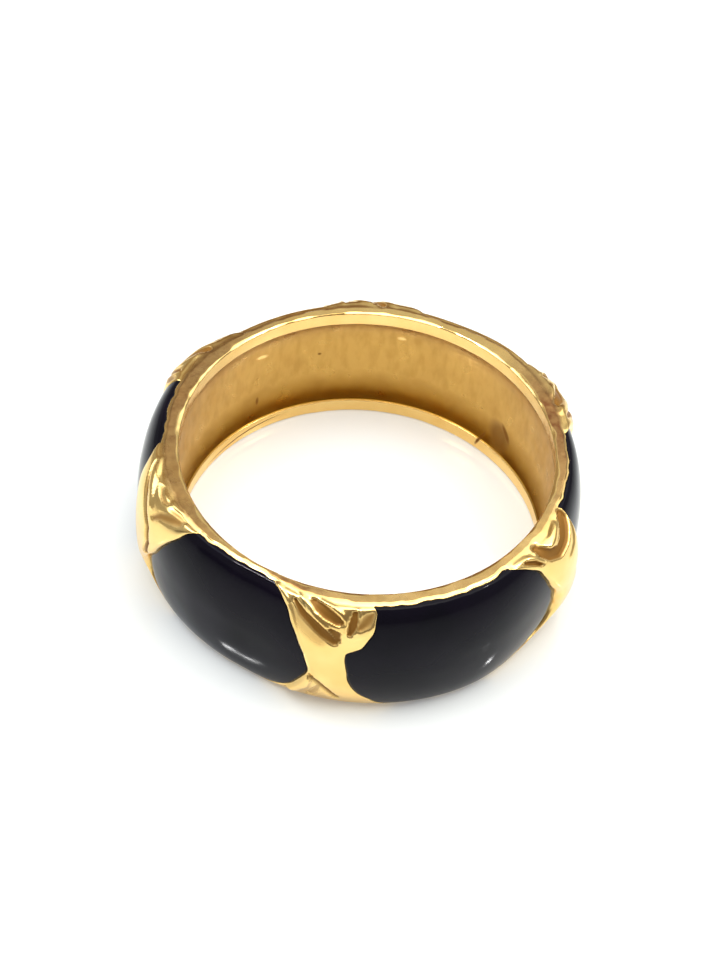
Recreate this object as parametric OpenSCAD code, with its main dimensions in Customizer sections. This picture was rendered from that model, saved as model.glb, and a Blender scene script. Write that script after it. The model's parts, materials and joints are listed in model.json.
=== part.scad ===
// Band ring of polished yellow gold, with six domed black enamel panels set in pockets between
// six carved leaf dividers. The ring lies on its side: its axis is Z and its lower rim is on Z = 0.
// Azimuth is counted from -Y, the front, towards +X, the right. All sizes are in millimetres.

/* [Finger hole] */
// Radius of the finger hole at its two lips
bore_r = 8.5; // [8:0.1:10]
// Height of each lip
lip_h = 0.73; // [0.5:0.01:1]
// Step from a lip out to the hollow between the lips
lip_step = 0.08; // [0.05:0.01:0.15]
// Depth of the hollow at mid height, beyond the lips
hollow_d = 0.56; // [0.45:0.01:0.58]
// Chamfer at both mouths of the finger hole
mouth_chamfer = 0.07; // [0.03:0.01:0.12]

/* [Band] */
// Height of the band, along the finger
band_h = 6.75; // [6:0.05:7.5]
// Mean width of the two flat rims
rim_w = 0.45; // [0.4:0.01:0.6]
// How far the enamel's dome stands out beyond the flat rims
dome = 1.1; // [0.9:0.05:1.2]
// How far a divider's crest stands out beyond the flat rims
crest = 1.46; // [1.3:0.02:1.6]
// Depth of the carved grooves
carving = 0.26; // [0.1:0.01:0.3]

/* [Enamel] */
// Depth of a pocket's floor below the dome, at mid height
pocket_d = 0.75; // [0.6:0.01:0.8]
// Gold left above and below a pocket
pocket_wall = 0.33; // [0.28:0.01:0.45]
// Gap between the enamel and its pocket
fit_gap = 0.04; // [0.03:0.005:0.06]

/* [Hidden] */
gold = "#d9a93f";
black = "#17171b";
$fn = 180;

// Width of the flat rims by azimuth: the band was filed by hand, so it wanders, and the lower rim
// was filed less than the upper one
RIM = [ // azimuth, share of the mean width above, and below
    [-180, 0.90, 1.20],
    [-150, 0.75, 1.15],
    [-138, 0.80, 1.20],
    [-115, 1.45, 1.80],
    [-90, 1.25, 1.65],
    [-65, 1.35, 1.65],
    [-48, 0.96, 1.20],
    [-38, 0.56, 0.95],
    [-28, 0.30, 0.75],
    [-8, 1.00, 0.80],
    [35, 1.08, 1.25],
    [58, 0.80, 0.80],
    [80, 0.92, 0.95],
    [110, 1.05, 1.20],
    [135, 1.40, 1.60],
    [160, 0.90, 1.20],
    [180, 0.90, 1.20]
];

// A divider's outline on the unrolled dome: a leaf with a slanting arm on its left, a round lobe
// over a notch on its right, a narrow waist, and a foot that spreads both ways
OUTLINE = [ // height from mid band, left edge, right edge, right edge without the notch,
    // left edge of the right leaf, right edge of the left leaf
    [-4.5, -3.60, 4.20, 4.20, -4.60, 2.60],
    [-4.1, -3.20, 3.90, 3.90, -4.00, 2.10],
    [-3.6, -2.40, 3.30, 3.30, -3.30, 1.50],
    [-3.0, -1.60, 2.70, 2.70, -1.70, 0.65],
    [-2.6, -1.30, 2.40, 2.20, -0.60, 0.10],
    [-2.0, -1.00, 1.95, 1.75, 0.15, -0.12],
    [-1.3, -0.66, 1.60, 1.50, 0.42, 0.02],
    [-0.5, -0.33, 1.40, 1.35, 0.28, 0.50],
    [0.3, -0.60, 1.25, 1.45, -0.05, 1.02],
    [1.1, -0.86, 1.28, 1.80, -0.42, 1.50],
    [1.65, -1.06, 1.95, 2.00, -0.66, 1.80],
    [2.2, -1.28, 2.20, 2.17, -0.92, 2.12],
    [3.0, -1.64, 2.45, 2.35, -1.37, 2.52],
    [3.75, -2.07, 2.55, 2.60, -2.07, 2.95],
    [4.2, -2.58, 2.40, 2.85, -2.75, 3.30],
    [4.5, -2.90, 1.90, 3.00, -3.10, 3.60]
];
// The two leaves that have one edge of their own
right_leaf = 1;
left_leaf = 5;
// The waist: height and left or right edge of the leaf where it is narrowest
waist_left = [-0.5, -0.33];
waist_right = [0.3, 1.25];
// Height of the unrolled dome's top and bottom edges
chart_top = 4.5;

// Each divider is the same leaf, carved a little differently
DIVIDERS = [ // azimuth, lean, width of arm, of lobe, depth of notch, left foot, right foot, crest
    [-8, 0, 1, 1, 1, 1, 1, 0.85],
    [61, 0.7, 1.35, 0.5, 0, 1.25, 0.8, 1.12],
    [116.5, 0, 1, 1, 0.8, 1, 1, 1.08],
    [181.5, 0, 1.05, 1.1, 1, 1, 1, 1.08],
    [238.5, 0.2, 1, 0.75, 0.6, 1.2, 1, 1.08],
    [292, -0.7, 1.1, 1.4, 0, 1, 0.1, 1.06]
];

// The panel that follows each divider: fullness of its dome, and latitude of its upper edge, which
// is a row of the grid below
PANELS = [[1.08, 83], [0.95, 83], [0.97, 73], [1.05, 73], [1.22, 83], [1, 83]];

// Grooves carved between the leaf's veins, on the unrolled dome
GROOVES = [ // start across, start height, end across, end height, half width, share of the depth
    [-1.26, 3.94, -0.73, 3.41, 0.34, 0.8],
    [-0.73, 3.41, 0.04, 2.61, 0.34, 1],
    [0.04, 2.61, 0.85, 1.69, 0.32, 0.8],
    [-0.68, 4.45, 0.12, 3.92, 0.36, 1],
    [0.12, 3.92, 0.98, 2.98, 0.36, 1],
    [1.64, 3.93, 1.32, 2.33, 0.32, 0.9]
];

// Grid of the outer surface: columns across a divider and a panel, and rows below and above the
// latitude where the carving starts. A latitude is 0 at mid band and 90 at the rims.
divider_steps = 20;
panel_steps = 7;
lower_rows = 9;
upper_rows = 12;
carved_lat = 8;
carved_top = 73;
top_lats = [75, 80, 83, 85, 88, 90];
foot_lats = [-90, -86, -80];
foot_lat = 78;
// The carving fades out above this latitude
edge_lat = 80;
// How much lower the enamel ends than its pocket does, on the dome and on the floor
dome_short = 0.7;
floor_short = 5;
foot_short = 3;

// How full the profiles are: 1 is an ellipse, and less is squarer. The lower half is the fuller one.
height_power = 0.93;
dome_power = 0.9;
low_dome_power = 0.65;
crest_power = 0.8;
foot_power = 0.8;
hollow_power = 4;
// How square a divider is across: 2 is round
round_edge = 3;

// How far a pocket is narrower at its floor, and how far its floor is from the hole at the rims
pocket_draft = 0.05;
floor_rim = 0.53;
equator_r = bore_r + rim_w + (dome + crest) / 2;
degrees_per_mm = 180 / (PI * equator_r);
sector = len(DIVIDERS);

function mix(a, b, t) = a + (b - a) * t;
function place(azimuth, r, z) = [r * sin(azimuth), -r * cos(azimuth), z];
function turn(azimuth) = azimuth > 180 ? azimuth - 360 : azimuth;
function rim_share(azimuth, side) = lookup(turn(azimuth), [for (row = RIM) [row[0], row[side]]]);
function rim_r(azimuth, lat) =
    bore_r + rim_w * mix(rim_share(azimuth, 1), rim_share(azimuth, 2), pow(min(0, sin(lat)), 2));

// Height above mid band, as a share of half the band, and the same along the unrolled dome
function rise(lat) = sign(lat) * pow(abs(sin(lat)), height_power);
function chart_y(lat) = band_h / 2 * rise(lat) + sign(lat) * dome * (1 - cos(lat));

// Left and right edges of divider i, as azimuths, at a height on the unrolled dome
function outline(y, side) = lookup(y, [for (row = OUTLINE) [row[0], row[side]]]);
function flare(x, waist, share) = waist + (x - waist) * share;
function lean(i, y) = DIVIDERS[i][1] * (1 - pow(y / chart_top, 2));
function left_x(i, y) = i == right_leaf ? outline(y, 4) :
    let (share = DIVIDERS[i][y > waist_left[0] ? 2 : 5])
    flare(outline(y, 1), waist_left[1], share) + lean(i, y);
function right_x(i, y) = i == left_leaf ? outline(y, 5) :
    let (share = DIVIDERS[i][y > waist_right[0] ? 3 : 6])
    flare(mix(outline(y, 3), outline(y, 2), DIVIDERS[i][4]), waist_right[1], share) + lean(i, y);
function azimuth_of(i, x) = DIVIDERS[i % sector][0] + (i >= sector ? 360 : 0) + x * degrees_per_mm;
function edge_y(lat) = chart_y(max(-edge_lat, min(edge_lat, lat)));
function left_edge(i, lat) = azimuth_of(i, left_x(i % sector, edge_y(lat)));
function right_edge(i, lat) = azimuth_of(i, right_x(i, edge_y(lat)));

// The dome of panel i, and the crest that a divider swells to between two panels
function fullness(lat) = lat > 0 ? dome_power : low_dome_power;
function dome_out(i, lat) = dome * PANELS[(i + sector) % sector][0] * pow(cos(lat), fullness(lat));
function crest_out(i, lat) = crest * DIVIDERS[i][7] * pow(cos(lat), lat > 0 ? crest_power : foot_power);
function swell(u) = sqrt(1 - pow(abs(2 * u - 1), round_edge));

// Depth of the carving at a point of the unrolled dome
function along(p, a, b) = max(0, min(1, (p - a) * (b - a) / ((b - a) * (b - a))));
function off_line(p, a, b) = norm(p - a - (b - a) * along(p, a, b));
function one_cut(p, g) = g[5] * max(0, 1 - pow(off_line(p, [g[0], g[1]], [g[2], g[3]]) / g[4], 2));
function cut(p) = carving * max([for (g = GROOVES) one_cut(p, g)]);
function cut_fade(lat) = max(0, min(1, (90 - abs(lat)) / (90 - edge_lat)));
function normal(lat) = let (n = [band_h / 2 * cos(lat), dome * sin(lat)]) n / norm(n);

// A point of the gold on divider i, at a share u of its width
function gold_point(i, u, lat) =
    let (x = mix(left_x(i, edge_y(lat)), right_x(i, edge_y(lat)), u))
    let (azimuth = azimuth_of(i, x))
    let (base = mix(dome_out(i - 1, lat), dome_out(i, lat), u))
    let (depth = cut([x - lean(i, edge_y(lat)), chart_y(lat)]) * cut_fade(lat) * normal(lat))
    place(azimuth, rim_r(azimuth, lat) + mix(base, crest_out(i, lat), swell(u)) - depth[0],
        band_h / 2 * (1 + rise(lat)) - depth[1]);

// A point of panel i, between its two edges: on the dome, or on the pocket's floor
function panel_azimuth(i, v, lat, inset) =
    mix(right_edge(i, lat) + inset * degrees_per_mm, left_edge(i + 1, lat) - inset * degrees_per_mm, v);
function dome_point(i, v, lat, inset) =
    let (azimuth = panel_azimuth(i, v, lat, inset))
    place(azimuth, rim_r(azimuth, lat) + dome_out(i, lat), band_h / 2 * (1 + rise(lat)));
function floor_point(i, v, lat, inset, lift) =
    let (azimuth = panel_azimuth(i, v, lat, inset))
    let (r = bore_r + floor_rim + (dome - pocket_d) * cos(lat) + lift * cos(lat))
    place(azimuth, r, band_h / 2 + (band_h / 2 - pocket_wall) * rise(lat) + lift * sin(lat));

// The rows, and the band's points row by row, sector by sector
inner_lats = concat(
    [for (j = [1:lower_rows]) mix(-foot_lat, carved_lat, j / lower_rows)],
    [for (j = [1:upper_rows]) mix(carved_lat, carved_top, j / upper_rows)]);
pocket_lats = concat([-foot_lat], inner_lats, top_lats);
band_lats = concat(foot_lats, pocket_lats);
columns = sector * (divider_steps + panel_steps + 2);

function sector_row(i, lat) = concat(
    [for (k = [0:divider_steps]) gold_point(i, k / divider_steps, lat)],
    [for (k = [0:panel_steps]) lat < -foot_lat || lat > PANELS[i][1]
        ? dome_point(i, k / panel_steps, lat, pocket_draft)
        : floor_point(i, k / panel_steps, lat, pocket_draft, 0)]);
function flat(lists) = [for (list = lists) for (item = list) item];
function grid_faces(n_rows, n_cols, wrap) = [
    for (j = [0:n_rows - 2])
        for (k = [0:n_cols - (wrap ? 1 : 2)])
            let (a = j * n_cols + k, b = j * n_cols + (k + 1) % n_cols)
            each [[a, a + n_cols, b], [a + n_cols, b + n_cols, b]]
];

module outer_body() {
    points = flat([for (lat = band_lats) flat([for (i = [0:sector - 1]) sector_row(i, lat)])]);
    n_rows = len(band_lats);
    count = n_rows * columns;
    last = count - columns;
    lower_cap = [for (k = [0:columns - 1]) [count, k, (k + 1) % columns]];
    upper_cap = [for (k = [0:columns - 1]) [count + 1, last + (k + 1) % columns, last + k]];
    polyhedron(
        points = concat(points, [[0, 0, 0], [0, 0, band_h]]),
        faces = concat(grid_faces(n_rows, columns, true), lower_cap, upper_cap),
        convexity = 6);
}

// The finger hole with its two lips, chamfered mouths and the shallow hollow between the lips
hollow_steps = 12;
hollow_lo = lip_h;
hollow_hi = band_h - lip_h;
function hollow_share(k) = (1 - cos(180 * k / hollow_steps)) / 2;
function hollow_r(t) =
    bore_r + lip_step + (hollow_d - lip_step) * (1 - pow(abs(2 * t - 1), hollow_power));
hollow_wall = [for (k = [0:hollow_steps])
    [hollow_r(hollow_share(k)), mix(hollow_lo, hollow_hi, hollow_share(k))]];

module finger_hole() {
    over = 1;
    mouth_r = bore_r + mouth_chamfer;
    lower = [[0, -over], [mouth_r, -over], [mouth_r, 0], [bore_r, mouth_chamfer], [bore_r, hollow_lo]];
    upper = [[bore_r, hollow_hi], [bore_r, band_h - mouth_chamfer], [mouth_r, band_h],
        [mouth_r, band_h + over], [0, band_h + over]];
    rotate_extrude() polygon(concat(lower, hollow_wall, upper));
}

module band() {
    color(gold)
        difference() {
            outer_body();
            finger_hole();
        }
}

// One enamel panel: its dome and its underside share the band's rows and columns
function over_lat(lat, top) = lat < top ? lat : top - dome_short;
function under_lat(lat, top) =
    lat <= -foot_lat ? foot_short - foot_lat : lat - max(0, lat - top + 3 * floor_short) / 3;

module enamel(i) {
    top_lat = PANELS[i][1];
    lats = [for (lat = pocket_lats) if (lat <= top_lat) lat];
    n_rows = len(lats);
    n_cols = panel_steps + 1;
    count = n_rows * n_cols;
    top = count - n_cols;
    right = n_cols - 1;
    inset = pocket_draft + fit_gap;
    outer = flat([for (lat = lats) let (over = over_lat(lat, top_lat))
        [for (k = [0:panel_steps]) dome_point(i, k / panel_steps, over, fit_gap)]]);
    inner = flat([for (lat = lats) let (under = under_lat(lat, top_lat))
        [for (k = [0:panel_steps]) floor_point(i, k / panel_steps, under, inset, fit_gap)]]);
    outer_faces = grid_faces(n_rows, n_cols, false);
    inner_faces = [for (f = outer_faces) [f[0] + count, f[2] + count, f[1] + count]];
    left_side = [for (j = [0:n_rows - 2]) let (a = j * n_cols, d = a + n_cols)
        each [[d, a, a + count], [d, a + count, d + count]]];
    right_side = [for (j = [0:n_rows - 2]) let (a = j * n_cols + right, d = a + n_cols)
        each [[a, d, d + count], [a, d + count, a + count]]];
    lower_side = [for (k = [0:n_cols - 2])
        each [[k, k + 1, k + 1 + count], [k, k + 1 + count, k + count]]];
    upper_side = [for (k = [top:top + n_cols - 2])
        each [[k + 1, k, k + count], [k + 1, k + count, k + 1 + count]]];
    color(black)
        polyhedron(
            points = concat(outer, inner),
            faces = concat(outer_faces, inner_faces, left_side, right_side, lower_side, upper_side),
            convexity = 4);
}

module enamel_front_right() { enamel(0); }
module enamel_right() { enamel(1); }
module enamel_back_right() { enamel(2); }
module enamel_back_left() { enamel(3); }
module enamel_left() { enamel(4); }
module enamel_front_left() { enamel(5); }

band();
enamel_front_right();
enamel_right();
enamel_back_right();
enamel_back_left();
enamel_left();
enamel_front_left();
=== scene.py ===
"""A band ring of polished yellow gold, with six domed panels of black enamel between six carved
leaf dividers. Gold and enamel are carved as flat strips, and Geometry Nodes bend each strip round
the finger hole, weld its seam and give it its material."""
import json
import math
from collections import namedtuple
from types import SimpleNamespace

import bpy
import numpy as np
from mathutils import Matrix, Vector


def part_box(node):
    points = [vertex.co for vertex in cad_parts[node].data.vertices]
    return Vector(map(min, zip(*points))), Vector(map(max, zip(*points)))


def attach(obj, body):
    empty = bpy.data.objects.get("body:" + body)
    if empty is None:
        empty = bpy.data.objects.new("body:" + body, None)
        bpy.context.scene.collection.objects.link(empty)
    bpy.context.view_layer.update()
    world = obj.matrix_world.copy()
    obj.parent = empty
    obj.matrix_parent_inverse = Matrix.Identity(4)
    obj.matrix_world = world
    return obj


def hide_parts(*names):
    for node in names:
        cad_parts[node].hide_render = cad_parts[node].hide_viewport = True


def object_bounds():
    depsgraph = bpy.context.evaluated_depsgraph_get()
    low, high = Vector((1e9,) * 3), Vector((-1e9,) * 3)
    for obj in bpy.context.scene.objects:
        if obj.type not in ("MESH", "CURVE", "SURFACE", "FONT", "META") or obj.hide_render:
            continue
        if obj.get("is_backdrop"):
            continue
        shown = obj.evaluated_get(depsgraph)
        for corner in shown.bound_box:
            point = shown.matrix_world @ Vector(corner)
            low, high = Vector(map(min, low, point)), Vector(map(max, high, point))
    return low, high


bl_info = {
    "name": "Band Ring",
    "version": (1, 0, 0),
    "blender": (4, 5, 0),
    "location": "View3D > Sidebar > Band Ring",
    "description": "A band ring of polished gold and black enamel, on a studio table",
    "category": "Object",
}

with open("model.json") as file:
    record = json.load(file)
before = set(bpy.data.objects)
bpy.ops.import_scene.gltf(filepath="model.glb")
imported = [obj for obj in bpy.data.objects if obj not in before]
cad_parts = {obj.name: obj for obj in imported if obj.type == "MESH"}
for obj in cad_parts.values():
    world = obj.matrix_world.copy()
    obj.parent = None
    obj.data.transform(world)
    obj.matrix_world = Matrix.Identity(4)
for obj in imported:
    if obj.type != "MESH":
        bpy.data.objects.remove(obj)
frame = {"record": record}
CAD_BOX = [list(corner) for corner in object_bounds()]
MM = 0.001
BODY = "root"
BAND_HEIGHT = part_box("band")[1].z
HOLE_RADIUS = frame["record"]["mounts"][0]["dims"]["r_mm"] * MM
PANEL_NODES = (
    "enamel_front_right", "enamel_right", "enamel_back_right",
    "enamel_back_left", "enamel_left", "enamel_front_left",
)

# Shape tables. Lengths are in millimetres and angles in degrees. Azimuth is counted from -Y, the
# front, towards +X, and a latitude is 0 at mid band and 90 at the flat rims.

# Width of the flat rims, which wanders, because the band was filed by hand
RIM = np.array((  # azimuth, share of the mean width above, and below
    (-180, 0.9, 1.2), (-150, 0.75, 1.15), (-138, 0.8, 1.2), (-115, 1.45, 1.8),
    (-90, 1.25, 1.65), (-65, 1.35, 1.65), (-48, 0.96, 1.2), (-38, 0.56, 0.95),
    (-28, 0.3, 0.75), (-8, 1, 0.8), (35, 1.08, 1.25), (58, 0.8, 0.8),
    (80, 0.92, 0.95), (110, 1.05, 1.2), (135, 1.4, 1.6), (160, 0.9, 1.2),
    (180, 0.9, 1.2),
), float)

# How dull the flat rims are worn. The same share browns them, partly as wear and partly as a
# painted dark reflection.
DULL_AND_SHADE = np.array((  # azimuth, share
    (-180, 0), (-155, 0), (-140, 0.4), (-120, 0.7), (-100, 0.78), (-75, 0.65), (-50, 0.6),
    (-36, 0.3), (-20, 0.85), (0, 0.35), (30, 0.4), (60, 0.3), (85, 0.7), (108, 1), (125, 0.6),
    (142, 0), (180, 0),
), float)

# Upper edges of the pockets: at the back the gold comes further down
TOPS = np.array((  # azimuth, latitude
    (-180, 72), (-136, 72), (-109, 86), (104, 86), (129, 72), (180, 72),
), float)

# A divider's outline on the unrolled dome: a leaf with a slanting arm on its left, a round lobe
# over a notch on its right, a narrow waist, and a foot that spreads both ways
OUTLINE = np.array((  # height from mid band, left edge, right edge, right edge without the notch,
    # left edge of the right leaf, right edge of the left leaf
    (-4.5, -3.6, 4.2, 4.2, -4.6, 2.6), (-4.1, -3.2, 3.9, 3.9, -4, 2.1),
    (-3.6, -2.4, 3.3, 3.3, -3.3, 1.5), (-3, -1.6, 2.7, 2.7, -1.7, 0.65),
    (-2.6, -1.3, 2.4, 2.2, -0.6, 0.1), (-2, -1, 1.95, 1.75, 0.15, -0.12),
    (-1.3, -0.66, 1.6, 1.5, 0.42, 0.02), (-0.5, -0.33, 1.4, 1.35, 0.28, 0.5),
    (0.3, -0.6, 1.25, 1.45, -0.05, 1.02), (1.1, -0.86, 1.28, 1.8, -0.42, 1.5),
    (1.65, -1.06, 1.95, 2, -0.66, 1.8), (2.2, -1.28, 2.2, 2.17, -0.92, 2.12),
    (3, -1.64, 2.45, 2.35, -1.37, 2.52), (3.75, -2.07, 2.55, 2.6, -2.07, 2.95),
    (4.2, -2.58, 2.4, 2.85, -2.75, 3.3), (4.5, -2.9, 1.9, 3, -3.1, 3.6),
), float)
# Columns of the left and right edge, and of a leaf's own edges
LEAF_EDGES = (1, 2)
UNNOTCHED_EDGE = 3
OWN_EDGE = {("right", 0): 4, ("left", 1): 5}
WAIST_LEFT = (-0.5, -0.33)
WAIST_RIGHT = (0.3, 1.25)
CHART_TOP = 4.5

# Each divider is the same leaf, carved a little differently. Its lean is in millimetres, and all
# from the arm to the cut are shares of the leaf's own.
Divider = namedtuple(
    "Divider", "azimuth lean arm lobe notch left_foot right_foot crest cut leaf")
DIVIDERS = (
    Divider(-8, 0, 1, 1, 1, 1, 1, 0.85, 1, "front"),
    Divider(61, 0.7, 1.35, 0.5, 0, 1.25, 0.8, 1.12, 1, "right"),
    Divider(116.5, 0, 1, 1, 0.8, 1, 1, 1.08, 0.7, "front"),
    Divider(181.5, 0, 1.05, 1.1, 1, 1, 1, 1.08, 0.6, "front"),
    Divider(238.5, 0.2, 1, 0.75, 0.6, 1.2, 1, 1.08, 0.4, "front"),
    Divider(292, -0.7, 1.1, 1.4, 0, 1, 0.1, 1.06, 1, "left"),
)
SECTORS = len(DIVIDERS)

# Fullness of the dome of the panel that follows each divider
PANELS = (1.08, 0.95, 0.97, 1.05, 1.22, 1.0)

# The strokes of a leaf's carving on the unrolled dome. A height is a share of the deepest groove,
# cut in if it is below 0, and a crispness over 1 leaves a flat floor or top.
LEAVES = {  # height, crispness, and then points of (across, up, half width)
    "front": (
        (-0.9, 0.9, (-1.34, 3.9, 0.12), (-0.8, 3.25, 0.28), (-0.22, 2.77, 0.34), (0.27, 2.27, 0.34),
         (0.72, 1.85, 0.22)),
        (-0.3, 0.6, (-1.44, 3.45, 0.24), (-1, 2.85, 0.5), (-0.5, 2.3, 0.62), (0.1, 1.85, 0.48)),
        (-0.8, 1.5, (-0.46, 4.22, 0.2), (-0.1, 3.92, 0.34), (0.34, 3.56, 0.38), (0.8, 3.24, 0.3)),
        (-0.65, 1.2, (0.48, 2.66, 0.14), (0.76, 2.42, 0.26), (0.88, 2.02, 0.14)),
        (-0.8, 1.2, (1.53, 3.92, 0.14), (1.5, 3.4, 0.22), (1.44, 2.95, 0.22), (1.36, 2.5, 0.12)),
        (-0.5, 0.8, (1.78, 2.95, 0.26), (2, 3.28, 0.44), (2.2, 3.62, 0.44), (2.42, 3.86, 0.22)),
        (-0.5, 1, (-0.3, -0.8, 0.06), (0.09, -1.22, 0.14), (0.54, -1.89, 0.15),
         (1.03, -2.74, 0.14)),
        (-0.25, 1, (0.16, -1.62, 0.14), (0.02, -2.15, 0.26), (-0.2, -2.8, 0.3)),
        (0.2, 1, (-2.35, 4.25, 0.2), (-1.7, 3.7, 0.16), (-1.36, 2.9, 0.15), (-1.02, 1.9, 0.15),
         (-0.62, 0.8, 0.16)),
        (0.25, 1, (-1.16, 4.36, 0.14), (-0.68, 3.9, 0.14), (-0.26, 3.34, 0.14), (0.31, 2.76, 0.12)),
        (0.35, 1, (-0.18, 4.42, 0.12), (0.22, 4.25, 0.14), (0.62, 4.03, 0.16), (0.98, 3.7, 0.16),
         (1.14, 3.2, 0.16), (1.12, 2.6, 0.14)),
        (0.3, 1, (1.68, 4.1, 0.09), (1.76, 3.5, 0.1), (1.6, 2.62, 0.1)),
        (0.15, 1, (1.5, 2.4, 0.3), (1.92, 2.62, 0.36), (2.26, 2.95, 0.28)),
        (0.7, 1, (-0.34, -1.1, 0.3), (-0.66, -1.8, 0.5), (-1.14, -2.6, 0.5)),
    ),
    "right": (
        (-0.9, 1.6, (1.96, 4.18, 0.3), (1.72, 3.96, 0.42), (1.32, 3.68, 0.46), (0.8, 3.3, 0.46),
         (0.24, 3.12, 0.42), (-0.34, 3.42, 0.36), (-0.7, 3.9, 0.3), (-0.84, 4.32, 0.2)),
        (-0.75, 1.2, (-1.85, 4.06, 0.12), (-1.42, 3.76, 0.18), (-1.1, 3.4, 0.14)),
        (0.3, 1, (-2.4, 4.35, 0.16), (-1.7, 4.28, 0.16), (-1.22, 3.86, 0.14), (-0.98, 3.46, 0.12)),
        (0.4, 1, (1.04, 4.32, 0.14), (0.5, 4.1, 0.26), (0.14, 3.92, 0.28), (-0.14, 3.86, 0.18)),
        (0.3, 1, (2.06, 3.34, 0.16), (1.8, 2.92, 0.22), (1.4, 2.46, 0.22), (0.9, 2.12, 0.22)),
    ),
    "left": (
        (-0.55, 1, (-1.8, 4.22, 0.1), (-1.21, 3.69, 0.16), (-0.67, 3.18, 0.18), (0.13, 2.49, 0.18),
         (0.71, 2.01, 0.18), (0.9, 1.06, 0.16), (0.54, -0.18, 0.14)),
        (-0.35, 1, (-0.1, 4.2, 0.1), (0.3, 4.04, 0.12), (0.72, 4.02, 0.13), (1.02, 4.16, 0.1)),
        (-0.5, 0.8, (0.84, 2.8, 0.16), (1.21, 3.37, 0.3), (1.7, 3.72, 0.44), (2.2, 3.98, 0.34)),
        (-0.25, 1, (1.4, 4.1, 0.14), (1.88, 4.22, 0.2), (2.36, 4.24, 0.14)),
        (0.45, 1.2, (-1.87, 4.36, 0.14), (-1.21, 4.1, 0.28), (-0.66, 3.8, 0.3), (-0.06, 3.46, 0.24),
         (0.36, 3.1, 0.14)),
        (0.4, 1, (1.2, 4.34, 0.11), (1.5, 4.42, 0.12), (1.82, 4.44, 0.1)),
    ),
}
CARVED_MARGIN = 0.2

# The grid of the strip: columns across a divider and a panel, and latitudes of the rows
GOLD_COLUMNS = 50
PANEL_COLUMNS = 46
DOME_ROWS = 100
ROW_SAMPLES = 40
EDGE_CROWDING = 0.5
CARVED_LAT = 8.0
CARVED_DENSITY = 1.8
UNDER_SHARE = 0.955
PANEL_TOP = 86.0
PANEL_FOOT = 78.0
EDGE_LAT = 80.0
TOP_LATS = (86.2, 86.7, 87.4, 88.2, 89.0, 89.6, 90.0)
FOOT_LATS = (78.4, 79.2, 80.5, 82.5, 85.0, 87.5, 89.2, 90.0)
RIM_SHARES = (0.06, 0.5, 0.94)
FILLET_STEPS = 4
HOLLOW_STEPS = 15

# How full the profiles are: 1 is an ellipse, and less is squarer
HEIGHT_POWER = 0.93
DOME_POWER = 0.9
LOW_DOME_POWER = 0.65
CREST_POWER = 0.8
# How square a divider is across: 2 is round
ROUND_EDGE = 3.0
# Where the bevel between the flat rims and the enamel is deepest, and how far off it fades out
BEVEL_LAT = 84.0
BEVEL_FADE = 6.0

# The side dividers' crests come down to the dome at their feet
FOOT_POWERS = {"front": 0.8, "right": 1.25, "left": 1.25}

# How squarely the hollow turns in towards the lips
HOLLOW_POWER = 4.0

# The hand-cut edges waver in a few waves, each with its share
RIM_WAVES = (  # waves round the ring, share
    (13, 0.45), (29, 0.4), (47, 0.35), (71, 0.25), (103, 0.15), (149, 0.1),
)
EDGE_WAVES = ((150, 0.6), (265, 0.4))  # degrees for each millimetre of height, share

# The finger hole's mouths are worn in slower waves, between a least and a most share
MOUTH_WEAR = 0.7
MOUTH_PACE = 0.6
MOUTH_PHASE = 40
MOUTH_SHARES = (0.4, 1.6)

# The noise of the uneven casting, and the gap in metres over which a seam is welded
CASTING_SEED = 4.0
CASTING_DETAIL = 1.0
WELD_DISTANCE = 4e-7
BEND_INPUTS = {  # socket type: names
    "NodeSocketGeometry": ("Geometry",),
    "NodeSocketFloat": (
        "Neutral Radius", "Height", "Unevenness", "Unevenness Size", "Seed", "Weld Distance"),
    "NodeSocketMaterial": ("Material",),
}

# Noise patterns of the gold and the enamel. Sizes are in millimetres, and the noise between the two
# levels is spread over the values from low to high.
GOLD_PATTERNS = {  # size round the ring, size up it, detail, levels, low, high
    "alloy": (1.6, 1.6, 3, 0.35, 0.7, 0, 1),  # where the gold is a little redder or paler
    "speckle": (0.3, 0.3, 3, 0.3, 0.7, 0.78, 1.1),  # on the worn rims
    "wear": (0.9, 0.9, 2, 0.3, 0.7, 0.75, 1.3),  # share of the roughness
    "ripple": (0.7, 0.7, 1, 0, 1, 0, 1),  # left by polishing by hand
    "lines": (2, 0.05, 2, 0, 1, 0, 1),  # left by the polishing thread, drawn coarser to show
    "waver": (0.8, 0.8, 3, 0, 1, 0, 1),  # of the painted shade's upper edge in the hollow
    "streaks": (1 / 2.6, 1 / 0.9, 3, 0.42, 0.68, 0, 0.2),  # faint, up the hollow
}
ENAMEL_PATTERNS = {
    "cloud": (2.2, 2.2, 2, 0.35, 0.7, 0, 1),  # where the black is a little more violet
    "wear": (0.5, 0.5, 3, 0.3, 0.7, 0.7, 1.5),  # share of the roughness
    "swell": (1.3, 1.3, 0, 0, 1, 0, 1),  # left by stoning by hand
}

# Depths in the bump, in millimetres
RIPPLE_DEPTH = 0.012
LINE_DEPTH = 0.001
SWELL_DEPTH = 0.014

# Second tones of the gold and the enamel
PALE_GOLD = "#f2c878"
VIOLET_BLACK = "#14101b"

# Residue gathers in cuts between these shares of the deepest, up to a most, and its brown also
# serves as painted shade in the cuts. It is a matte paste with little of the metal's shine, and
# both it and worn rims add to the roughness.
RESIDUE_AND_SHADE_CUTS = (0.04, 0.5)
RESIDUE_AND_SHADE_MOST = 0.92
RESIDUE_AND_SHADE_SHINE = 0.15
RESIDUE_ROUGHNESS = 0.35
DULL_ROUGHNESS = 0.14
GOLD_SPECULAR = 0.5

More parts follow.
